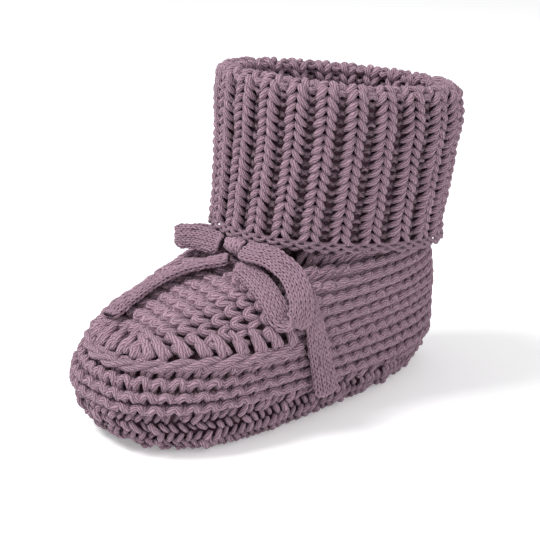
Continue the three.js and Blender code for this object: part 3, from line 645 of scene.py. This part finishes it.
def buildSeam(knit):
    piece = YarnPiece()
    start = float(angleAt(np.array(footForm["joinY"]), np.array(footForm["seam"])))
    toAngle, length = evenAngles(knit["level"], start, fullTurn - start)
    count = int(round(length / knit["stitch"]))

    # straight up the cloth from the seam line, and along the form's own columns at the toe's tip
    def place(u, v):
        line = toAngle(np.clip(u / length, 0, 1))
        level = np.full_like(v, knit["level"])
        foot, outward = footPoint(line, level), footOutward(line, level)
        upward = unit(np.cross(outward, footPoint(line - slight, level) - footPoint(line + slight, level)))
        upward *= np.sign(upward[:, 2:])
        z = level + upward[:, 2] * v
        straight = angleAt(foot[:, 1] + upward[:, 1] * v, z)
        straight = np.where(line > math.pi, fullTurn - straight, straight)
        tip = np.clip((-np.cos(line) - knit["tipFrom"]) / knit["tipRun"], 0, 1)
        angle = straight * (1 - tip) + line * tip
        return footPoint(angle, z), footOutward(angle, z), np.zeros_like(z)

    middles = (np.arange(count) + 0.5) * length / count
    for leg in (knit["upright"], knit["slanted"]):
        strandField(piece, place, middles, np.full(count, leg["up"]), legShape(leg, 1.0),
                    knit["uneven"], knit["sides"])
    rope = knit["rope"]
    share = np.linspace(-rope["past"], 1 + rope["past"], rope["steps"])
    past = np.where(share < 0, start + share, fullTurn - start + (share - 1))
    angle = np.where((share < 0) | (share > 1), past, toAngle(share))
    spot, outward = footPoint(angle, knit["level"]), footOutward(angle, knit["level"])
    upward = unit(np.cross(outward, unit(np.gradient(spot, axis=0))))
    thin = 1 - rope["toeThin"] * toeShare(angle)
    for strand in range(2):
        turn = fullTurn * share * length / rope["pitch"] + math.pi * strand
        shift = upward * np.sin(turn)[:, None] * rope["tall"] + outward * np.cos(turn)[:, None] * rope["deep"]
        path = spot + outward * rope["out"] + shift * (rope["spread"] * thin)[:, None]
        height = rope["height"] + rope["swing"] * np.cos(turn)
        radius = rope["radius"] * thin
        piece.addStrands(path[None], outward[None], radius[None], height[None], knit["sides"])
    return piece


# Sole: slanted legs in rows round its side, garter rows across its underside
soleKnit = {"pitch": 2.3, "levels": (8.1, 5.9, 3.8, 1.9), "middle": 5.0, "lowest": 1.0, "highest": 9.8,
            "tilt": 0.5, "sides": 6, "uneven": 0.16,
            "leg": {"inner": -0.8, "outer": 0.8, "tall": 1.9, "sink": -1.3, "deep": 0.95, "radius": 0.76,
                    "slim": 0.7, "enter": 0.12, "leave": 0.88, "steps": 7}}
underKnit = {"stitch": 4.4, "tall": 1.2, "omega": 0.05, "head": 0.05, "deep": 0.3, "radius": 0.8,
             "fatHead": 0.0, "sides": 4, "steps": 8, "sink": 0.0, "pitch": 3.2, "height": 1.42, "gap": 0.35,
             "uneven": 0.03, "level": 1.4, "rows": 16, "toeIn": 4, "heelIn": 3, "sideIn": 1.0}


def buildSole(knit):
    piece = YarnPiece()
    toAngle, length = evenAngles(knit["middle"], 0, fullTurn)
    count = int(round(length / knit["pitch"]))

    def place(u, v):
        angle = toAngle(np.mod(u / length, 1.0))
        z = np.clip(v, knit["lowest"], knit["highest"])
        outward = footOutward(angle, z)
        outward[:, 2] *= knit["tilt"]
        return footPoint(angle, z), unit(outward), np.zeros_like(z)

    for index, level in enumerate(knit["levels"]):
        shape = legShape(knit["leg"], (-1.0) ** (index + 1))
        middles = (np.arange(count) + 0.5 * (index % 2)) * length / count
        strandField(piece, place, middles, np.full(count, level), shape, knit["uneven"], knit["sides"])
    return piece


def buildUnder(knit):
    piece = YarnPiece()
    z = np.array(knit["level"])

    def place(u, v):
        t = np.clip((footForm["springStart"] - v) / footForm["springRun"], 0, 1)
        spot = np.stack([u, v, knit["height"] + footForm["spring"] * t * t], -1)
        return spot, np.broadcast_to(np.array([0.0, 0.0, -1.0]), spot.shape), np.zeros(len(spot))

    for number in range(-knit["rows"], knit["rows"] + 1):
        crest = number * knit["pitch"]
        if footValue("toe", z) + knit["toeIn"] < crest < footValue("heel", z) - knit["heelIn"]:
            halfWidth = float(footPoint(angleAt(np.array(crest), z), z)[0]) - knit["sideIn"]
            count = max(3, int(round(2 * halfWidth / knit["stitch"])))
            knitRidge(piece, place, crest, np.linspace(-halfWidth, halfWidth, count + 1), knit)
    return piece


# Cuff: one ribbed cloth up from the ankle, over the rim and down to the hem
cuffForm = {"slope": -0.105, "middleY": 20.0, "wideY": 21.0, "round": 2.15, "twist": -0.016, "ankle": 49.3,
            "rise": 33.0, "half": 29.3}
cuffTable = np.array([
    # height, front, back, half, slope
    (0, 0.816, 0.863, 0.672, 0),
    (0.294, 0.805, 0.908, 0.737, 0.5),
    (0.627, 0.799, 0.966, 0.809, 0.9),
    (0.882, 0.785, 1.003, 0.85, 1),
    (0.991, 0.836, 1.055, 0.901, 1),
    (0.973, 0.915, 1.126, 0.969, 1),
    (0.864, 0.949, 1.16, 1, 1),
    (0.536, 0.976, 1.14, 0.969, 1),
    (0.173, 1.024, 1.092, 0.918, 1),
    (-0.094, 1.065, 1.058, 0.877, 1),
    (-0.209, 1.089, 1.065, 0.884, 1)], float)
cuffTable[:, 0] = cuffForm["ankle"] + cuffTable[:, 0] * cuffForm["rise"]
cuffTable[:, 1] = cuffForm["middleY"] - cuffTable[:, 1] * cuffForm["half"]
cuffTable[:, 2] = cuffForm["middleY"] + cuffTable[:, 2] * cuffForm["half"]
cuffTable[:, 3] *= cuffForm["half"]


cuffStops = runAlong(cuffTable[:, [3, 0]])
cuffSlopes = np.stack([np.gradient(cuffTable[:, k], cuffStops) for k in range(5)], -1)
rimRun, hemRun = float(cuffStops[4]), float(cuffStops[-1])


def cuffValues(run):
    i = np.clip(np.searchsorted(cuffStops, run, side="right") - 1, 0, len(cuffStops) - 2)
    span = cuffStops[i + 1] - cuffStops[i]
    t = (run - cuffStops[i]) / span
    inner = np.clip(t, 0, 1)
    rise = inner * inner * (3 - 2 * inner)
    low, high, enter, leave = cuffTable[i], cuffTable[i + 1], cuffSlopes[i], cuffSlopes[i + 1]
    rise, t2, span = rise[:, None], inner[:, None], span[:, None]
    value = (low * (1 - rise) + high * rise + t2 * (1 - t2) ** 2 * span * enter
             + t2 * t2 * (t2 - 1) * span * leave)
    over = (t - inner)[:, None] * span
    return value + over * np.where(over > 0, leave, enter)


def cuffPoint(angle, run):
    z, front, back, half, slope = cuffValues(run).T
    c, s = np.cos(angle), np.sin(angle)
    wide = cuffForm["wideY"]
    reach = np.sign(c) * np.abs(c) ** (2 / cuffForm["round"])
    y = wide + np.where(c < 0, wide - front, back - wide) * reach
    x = half * np.sign(s) * np.abs(s) ** (2 / cuffForm["round"])
    return np.stack([x, y, z + cuffForm["slope"] * slope * (y - cuffForm["middleY"])], -1)


def cuffOutward(angle, run):
    across = cuffPoint(angle + slight, run) - cuffPoint(angle - slight, run)
    along = cuffPoint(angle, run + 0.4) - cuffPoint(angle, run - 0.4)
    return unit(np.cross(across, along))


# Columns are counted in ribs round the cuff, rows in millimetres along the cloth
cuffKnit = {"ribs": 24, "pitch": 2.2, "firstRow": 1.2, "rowsIn": 3.6, "countIn": 3.2, "relief": 0.6,
            "uneven": 0.05, "sink": -0.35, "inside": 8.0, "shownSides": 8, "insideSides": 6,
            "leg": {"inner": 0.02, "outer": 0.345, "tall": 3.2, "curl": 0.95, "sink": -0.95, "deep": 1.6,
                    "radius": 0.84, "slim": 0.5, "enter": 0.08, "leave": 0.93, "steps": 8},
            "bead": {"half": 0.17, "bow": 1.0, "sink": -1.0, "deep": 1.1, "radius": 0.55, "slim": 0.7,
                     "steps": 5, "sides": 6, "uneven": 2.2},
            "rimLeg": {"reach": 4, "grow": 0.18}, "rimBead": {"reach": 3.5, "grow": 0.7, "fill": 1.25}}


def onCuff(relief):
    def place(u, v):
        turn = (u * fullTurn / cuffKnit["ribs"]) + cuffForm["twist"] * (v - rimRun) / (hemRun - rimRun)
        return cuffPoint(turn, v), cuffOutward(turn, v), relief * np.cos(u * fullTurn)
    return place


def nearRim(levels, reach):
    return np.exp(-((levels - rimRun) / reach) ** 2)[:, None]


def buildCuff(knit):
    shown, inside = YarnPiece(), YarnPiece()
    place = onCuff(knit["relief"])
    bead, rimLeg, rimBead = knit["bead"], knit["rimLeg"], knit["rimBead"]
    columns = np.arange(knit["ribs"])
    count = int(round((hemRun - knit["countIn"]) / knit["pitch"]))
    rows = knit["firstRow"] + np.arange(count) * (hemRun - knit["rowsIn"]) / (count - 1)
    split = rimRun - knit["inside"]
    for piece, near, sides in ((shown, rows[rows > split], knit["shownSides"]),
                               (inside, rows[rows <= split], knit["insideSides"])):
        spots, levels = setOut(columns, near)
        grow = 1 + rimLeg["grow"] * nearRim(levels, rimLeg["reach"])
        for side in (-1.0, 1.0):
            shape = legShape(knit["leg"], side)
            strandField(piece, place, spots, levels, shape, knit["uneven"], sides, knit["sink"], grow)
        for shift, bow in ((0.0, -1.0), (knit["pitch"] / 2, 1.0)):
            valleys, levels = setOut(columns + 0.5, near + shift)
            across, along, height, radius = beadShape(bead, bow)
            atRim = nearRim(levels, rimBead["reach"])
            shape = (across, along, height + rimBead["fill"] * atRim, radius)
            strandField(piece, place, valleys, levels, shape, knit["uneven"] * bead["uneven"],
                        bead["sides"], knit["sink"], 1 + rimBead["grow"] * atRim)
    return shown, inside


# Cast-off edge: a level strand and two scalloped ones; each has its level, bow, shift, radius and way out
hemKnit = {"sides": 6, "relief": 0.25, "steps": 16, "lift": 0.3, "slim": 0.8,
           "strands": ((-1.5, 0.9, 0.5, 0.58, 0.15), (-0.75, 1.15, 0.0, 0.55, 0.45),
                       (0.05, 1.0, 0.5, 0.55, 0.2))}


def buildHem(knit, ribs):
    piece = YarnPiece()
    place = onCuff(knit["relief"])
    u = evenTurns(ribs * knit["steps"], ribs)
    for level, bow, shift, radius, out in knit["strands"]:
        wave = np.abs(np.sin(math.pi * (u * 2 + shift)))
        spot, outward, relief = place(u, hemRun + level + bow * (wave ** 0.8 - 0.5))
        height = relief + out + knit["lift"] * wave
        path = spot + outward * height[:, None]
        swell = radius * (knit["slim"] + (1 - knit["slim"]) * wave)
        piece.addStrands(path[None], outward[None], swell[None], height[None], knit["sides"], True)
    return piece


# Dark cloth behind the loops, its near-black colour painted shade, and the paler lining seen inside the foot
coreForm = {"round": 144, "lowLevels": (4, 6, 8.7), "from": 10, "to": 48.6, "levels": 27,
            "middleY": -2.0, "floorRings": 12, "floorHole": 0.02, "cuffRings": 44, "cuffIn": 0.9,
            "cuffDepth": 1.15}


def buildCore(depth, base):
    piece = YarnPiece()
    angles = evenTurns(coreForm["round"])
    upper = np.linspace(coreForm["from"], coreForm["to"], coreForm["levels"])
    levels = np.concatenate([[base, *coreForm["lowLevels"]], upper])
    rings = np.stack([footPoint(angles, z) - footOutward(angles, z) * depth for z in levels])
    piece.addSheet(rings)
    shares = np.linspace(1, coreForm["floorHole"], coreForm["floorRings"])
    middle = np.array([0.0, coreForm["middleY"], rings[0][:, 2].min()])
    piece.addSheet(np.stack([middle + (rings[0] - middle) * share for share in shares]))
    return piece


def buildCuffCore():
    piece = YarnPiece()
    angles = evenTurns(coreForm["round"])
    rings = []
    for run in np.linspace(0.0, hemRun - coreForm["cuffIn"], coreForm["cuffRings"]):
        runs = np.full_like(angles, run)
        rings.append(cuffPoint(angles, runs) - cuffOutward(angles, runs) * coreForm["cuffDepth"])
    piece.addSheet(np.stack(rings))
    return piece


# Tie: flat knitted cord; routes in metres, the same as the solids
tieRoutes = {
    "tie_loop_left": [
        (-0.0016, -0.0139, 0.0425, 0, 0.5, 0.86), (-0.0054, -0.0145, 0.0426, 0, 0.5, 0.86),
        (-0.0106, -0.0154, 0.0426, 0, 0.3, 0.95), (-0.0152, -0.0166, 0.0418, 0, 0.15, 0.99),
        (-0.0176, -0.016, 0.0414, -0.1, 0, 0.99), (-0.0164, -0.0139, 0.0414, -0.1, 0.1, 0.99),
        (-0.0116, -0.0124, 0.0423, 0, 0.3, 0.95), (-0.0064, -0.0116, 0.0424, 0, 0.5, 0.86),
        (-0.0019, -0.011, 0.0425, 0, 0.5, 0.86)],
    "tie_loop_right": [
        (0.0075, -0.0133, 0.0434, 0, 0.8, 0.5), (0.0114, -0.0135, 0.04355, 0.1, 0.8, 0.5),
        (0.0156, -0.0123, 0.0436, 0.25, 0.85, 0.4), (0.0199, -0.0114, 0.0422, 0.35, 0.88, 0.3),
        (0.0236, -0.0108, 0.0398, 0.4, 0.88, 0.2), (0.0266, -0.0112, 0.0362, 0.35, 0.92, 0.1),
        (0.0278, -0.012, 0.0326, 0.3, 0.95, 0), (0.0277, -0.0135, 0.0302, 0.3, 0.95, 0),
        (0.0254, -0.0153, 0.0307, 0.3, 0.95, 0.1), (0.0229, -0.0162, 0.0342, 0.3, 0.9, 0.2),
        (0.019, -0.0162, 0.037, 0.2, 0.9, 0.3), (0.014, -0.0158, 0.0389, 0.1, 0.9, 0.3),
        (0.0091, -0.0159, 0.0403, 0, 0.9, 0.3)],
    "tie_end_left": [
        (0.0038, -0.0155, 0.0406, 0.95, 0.2, 0.1), (0.0003, -0.0188, 0.0393, 0.9, -0.3, 0.1),
        (-0.0034, -0.0228, 0.0378, 0.92, -0.3, 0.15), (-0.0058, -0.0276, 0.0359, 0.96, -0.2, 0.2),
        (-0.0068, -0.033, 0.0337, 0.97, 0, 0.2), (-0.007, -0.0384, 0.0312, 0.97, 0.1, 0.2),
        (-0.0064, -0.0442, 0.0289, 0.97, 0.1, 0.2)],
    "tie_end_right": [
        (0.008, -0.0102, 0.042, 0, 0.9, 0.3), (0.0122, -0.009, 0.0419, 0.1, 0.9, 0.3),
        (0.017, -0.008, 0.0405, 0.2, 0.95, 0.2), (0.0212, -0.0078, 0.0379, 0.2, 0.95, 0.1),
        (0.0244, -0.0078, 0.0345, 0.1, 0.98, 0), (0.0264, -0.0072, 0.0306, 0, 1, -0.1),
        (0.027, -0.0064, 0.0264, 0, 1, -0.2), (0.027, -0.0054, 0.022, 0, 1, -0.2),
        (0.0272, -0.0044, 0.0174, 0, 1, -0.2), (0.0278, -0.0036, 0.0128, 0, 1, -0.2),
        (0.0279, -0.003, 0.0094, 0, 1, -0.2)],
}
tieKnit = {"columns": 11, "pitch": 1.35, "halfWide": 2.75, "halfDeep": 0.75, "uneven": 0.05, "sides": 6,
           "spacing": 0.6, "endRun": 1.4, "endRow": 0.8, "fillEnd": 0.4, "fillPitch": 1.2, "fillSides": 22,
           "fillIn": 0.22, "fillShadeHeight": -0.3,
           "leg": {"inner": 0.1, "outer": 0.44, "tall": 1.9, "sink": -0.34, "deep": 0.48, "radius": 0.28,
                   "slim": 0.75, "enter": 0.1, "leave": 0.9, "steps": 5}}


# Smooth curve through the route's points, with the width direction carried along, in millimetres
def smoothRoute(route, spacing, steps=25):
    points = np.array([row[:3] for row in route]) / mm
    wides = np.array([row[3:] for row in route], float)
    padded = np.concatenate([[2 * points[0] - points[1]], points, [2 * points[-1] - points[-2]]])
    share = np.linspace(0, 1, steps)[:, None]
    line, wide = [], []
    for k in range(len(points) - 1):
        p = padded[k:k + 4]
        knots = np.concatenate([[0], np.cumsum(np.linalg.norm(np.diff(p, axis=0), axis=1) ** 0.5)])
        t = np.linspace(knots[1], knots[2], steps)[:, None]

        def between(i, j, first, second):
            span = knots[j] - knots[i]
            return (knots[j] - t) / span * first + (t - knots[i]) / span * second

        a = [between(i, i + 1, p[i], p[i + 1]) for i in range(3)]
        b = [between(i, i + 2, a[i], a[i + 1]) for i in range(2)]
        keep = slice(0, steps - 1) if k < len(points) - 2 else slice(0, steps)
        line.append(between(1, 2, b[0], b[1])[keep])
        wide.append((wides[k] * (1 - share) + wides[k + 1] * share)[keep])
    line, wide = np.concatenate(line), np.concatenate(wide)
    run = runAlong(line)
    even = np.linspace(0, run[-1], max(4, int(run[-1] / spacing)) + 1)
    line, wide = resample(even, run, line), resample(even, run, wide)
    tangent = unit(np.gradient(line, axis=0))
    wide = unit(wide - tangent * (wide * tangent).sum(1, keepdims=True))
    return even, line, wide, np.cross(tangent, wide)


# Places and directions round a flat rounded section for a share of the way round
def flatSection(halfWide, halfDeep):
    turn = np.linspace(0, fullTurn, 181)
    x = halfWide * np.sign(np.cos(turn)) * np.abs(np.cos(turn)) ** 0.8
    y = halfDeep * np.sign(np.sin(turn)) * np.abs(np.sin(turn)) ** 0.8
    run = runAlong(np.stack([x, y], -1))
    values = np.stack([x, y, np.gradient(y), -np.gradient(x)], -1)
    return lambda u: resample(np.mod(u, 1), run / run[-1], values).T


def buildCord(route, knit, widen=None):
    piece = YarnPiece()
    even, line, wide, deep = smoothRoute(route, knit["spacing"])
    section = flatSection(knit["halfWide"], knit["halfDeep"])
    length = even[-1]

    def place(u, v):
        x, y, wayX, wayY = section(u / knit["columns"])
        v = np.clip(v, 0, length)
        grow = np.ones_like(v) if widen is None else np.interp(v / length, widen[0], widen[1])
        grow = grow * np.clip(np.minimum(v, length - v) / knit["endRun"], 0.3, 1) ** 0.35
        middle, across, up = (resample(v, even, values) for values in (line, wide, deep))
        spot = middle + across * (x * grow)[:, None] + up * y[:, None]
        return spot, unit(across * wayX[:, None] + up * wayY[:, None]), np.zeros_like(v)

    knitted = length - 2 * knit["endRow"]
    count = int(knitted / knit["pitch"])
    rows = knit["endRow"] + knitted * np.arange(count) / (count - 1)
    columns, levels = setOut(np.arange(knit["columns"]), rows)
    for side in (-1.0, 1.0):
        shape = legShape(knit["leg"], side)
        strandField(piece, place, columns, levels, shape, knit["uneven"], knit["sides"])
    # soft filling, set low so that it is painted in the hollow shade
    turn = evenTurns(knit["fillSides"], knit["columns"])
    rings = []
    end = knit["fillEnd"]
    for stop in np.linspace(end, length - end, int(length / knit["fillPitch"])):
        spot, outward, relief = place(turn, np.full_like(turn, stop))
        rings.append(spot - outward * knit["fillIn"])
    ids = piece.addSheet(np.array(rings), knit["fillShadeHeight"])
    piece.addCaps(ids[:1])
    piece.addCaps(ids[-1:, ::-1])
    return piece, line * mm, length * mm


def dress(obj, slotName, *nodes):
    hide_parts(*nodes)
    return obj


cordFacts = {
    "tie_loop_left": {"end": "object", "widen": None},
    "tie_loop_right": {"end": "object", "widen": None},
    "tie_end_left": {"end": "bare", "widen": ((0, 0.85, 1), (0.9, 1.0, 1.25))},
    "tie_end_right": {"end": "bare", "widen": ((0, 0.6, 0.85, 1), (0.95, 0.9, 1.15, 1.3))},
}
# The two numbers after each material are the heights over which the painted hollow shade fades out
for name, facts in cordFacts.items():
    piece, path, length = buildCord(tieRoutes[name], tieKnit, facts["widen"])
    obj = dress(piece.make(name + "_knit", tieYarn, -0.45, 0.25), "tie_yarn", name)
print("tie cords made")

# The two numbers after each material are the heights over which the painted hollow shade fades out
dress(buildBand(bandKnit).make("foot_band_knit", footYarn, -0.6, 1.4), "foot_yarn", "upper")
dress(buildQuarter(quarterKnit).make("quarter_knit", footYarn, -0.2, 1.3), "foot_yarn", "upper")
dress(buildVamp(vampKnit).make("vamp_knit", footYarn, -0.7, 1.3), "foot_yarn", "upper")
dress(buildSeam(seamKnit).make("vamp_seam_knit", footYarn, -0.9, 1.0), "foot_yarn", "vamp_seam")
print("upper knitted")
dress(buildSole(soleKnit).make("sole_side_knit", footYarn, -2.2, 0.6), "foot_yarn", "sole")
dress(buildUnder(underKnit).make("sole_under_knit", footYarn, -1.2, 0.6), "foot_yarn", "sole")
dress(buildCore(1.3, 2.6).make("foot_core", paintedShadeYarn), "foot_yarn", "upper", "sole")
dress(buildCore(2.2, 3.2).make("foot_lining", insideYarn), "foot_yarn", "upper", "sole")
print("sole knitted")
cuffShown, cuffInside = buildCuff(cuffKnit)
dress(cuffShown.make("cuff_flap_knit", cuffYarn, -1.3, 0.9), "cuff_yarn", "cuff")
dress(cuffInside.make("cuff_shaft_knit", cuffYarn, -1.3, 0.9), "cuff_yarn", "cuff")
dress(buildHem(hemKnit, cuffKnit["ribs"]).make("cuff_hem_knit", cuffYarn, -0.6, 0.7), "cuff_yarn", "cuff")
dress(buildCuffCore().make("cuff_core", paintedShadeYarn), "cuff_yarn", "cuff")
print("cuff knitted")


# Band of the tie round the ankle, and its knot
bandForm = {"round": 180, "sides": 12, "level": 46.2, "halfTall": 2.0, "out": 1.1, "halfThick": 0.75}
knotForm = {"centre": (3.0, -11.7, 43.0), "columns": 7, "spread": 0.92, "taper": 0.07, "wave": 0.25,
            "waves": 7, "halfDeep": 2.5, "halfTall": 2.1, "radius": 0.6, "steps": 40}


def buildTieBand(form):
    piece = YarnPiece()
    angles = evenTurns(form["round"])
    outward = footOutward(angles, form["level"])
    rings = []
    for turn in np.arange(form["sides"]) * fullTurn / form["sides"]:
        spot = footPoint(angles, form["level"] + form["halfTall"] * math.cos(turn))
        rings.append(spot + outward * (form["out"] + form["halfThick"] * math.sin(turn)))
    rows = np.array(rings).transpose(1, 0, 2)[::-1]
    piece.addSheet(np.concatenate([rows, rows[:1]]))
    return piece


def buildKnot(form):
    piece = YarnPiece()
    centre = np.array(form["centre"])
    deep, tall, half = form["halfDeep"], form["halfTall"], form["columns"] // 2
    turn = evenTurns(form["steps"])
    outward = unit(np.stack([0 * turn, -tall * np.cos(turn), deep * np.sin(turn)], -1))
    for column in range(form["columns"]):
        swell = 1.0 - form["taper"] * abs(column - half)
        x = (column - half) * form["spread"] + form["wave"] * np.sin(
            turn * form["waves"] + column * math.pi)
        path = centre + np.stack([x, -deep * swell * np.cos(turn), tall * swell * np.sin(turn)], -1)
        piece.addStrands(path[None], outward[None], form["radius"], np.zeros((1, len(turn))), 6, True)
    return piece


# Band and knot lie at one height, so each is painted part way into the hollow shade all over
dress(buildTieBand(bandForm).make("tie_band_knit", tieYarn, -1.0, 0.5), "tie_yarn", "tie_band")
dress(buildKnot(knotForm).make("tie_knot_knit", tieYarn, -0.6, 0.4), "tie_yarn", "tie_knot")
print("tie knotted")

# Floor, light and world (metres)
studio = {"floor": (0.92, 0.92, 0.93), "floorReach": 3.0, "floorGlow": 0.24, "world": (1.0, 1.0, 1.0),
          "worldStrength": 0.62, "aim": (0, 0, 0.04),
          "key": {"place": (-0.20, -0.40, 0.75), "size": 0.35, "power": 8.0},
          "fill": {"place": (0.75, 0.10, 0.40), "size": 0.8, "power": 2.5}}


def buildStudio(settings):
    mesh = bpy.data.meshes.new("studioFloor")
    reach = settings["floorReach"]
    corners = [(-reach, -reach, 0), (reach, -reach, 0), (reach, reach, 0), (-reach, reach, 0)]
    mesh.from_pydata(corners, [], [(0, 1, 2, 3)])
    floor = bpy.data.objects.new("studioFloor", mesh)
    bpy.context.scene.collection.objects.link(floor)
    mesh.materials.append(newMaterial("paleFloor", {
        "Base Color": (*settings["floor"], 1), "Roughness": 0.9, "Specular IOR Level": 0.1,
        "Emission Color": (1, 1, 1, 1), "Emission Strength": settings["floorGlow"]})[0])
    world = bpy.data.worlds.new("softRoom")
    world.use_nodes = True
    background = world.node_tree.nodes["Background"].inputs
    background["Color"].default_value = (*settings["world"], 1)
    background["Strength"].default_value = settings["worldStrength"]
    bpy.context.scene.world = world
    for name in ("key", "fill"):
        lamp = settings[name]
        data = bpy.data.lights.new(name + "Light", "AREA")
        data.size = lamp["size"]
        data.energy = lamp["power"]
        light = bpy.data.objects.new(name + "Light", data)
        bpy.context.scene.collection.objects.link(light)
        light.location = lamp["place"]
        aim = Vector(settings["aim"]) - Vector(lamp["place"])
        light.rotation_mode = "QUATERNION"
        light.rotation_quaternion = aim.to_track_quat("-Z", "Y")


buildStudio(studio)
bpy.context.scene.view_settings.view_transform = "Standard"
print("studio lit")
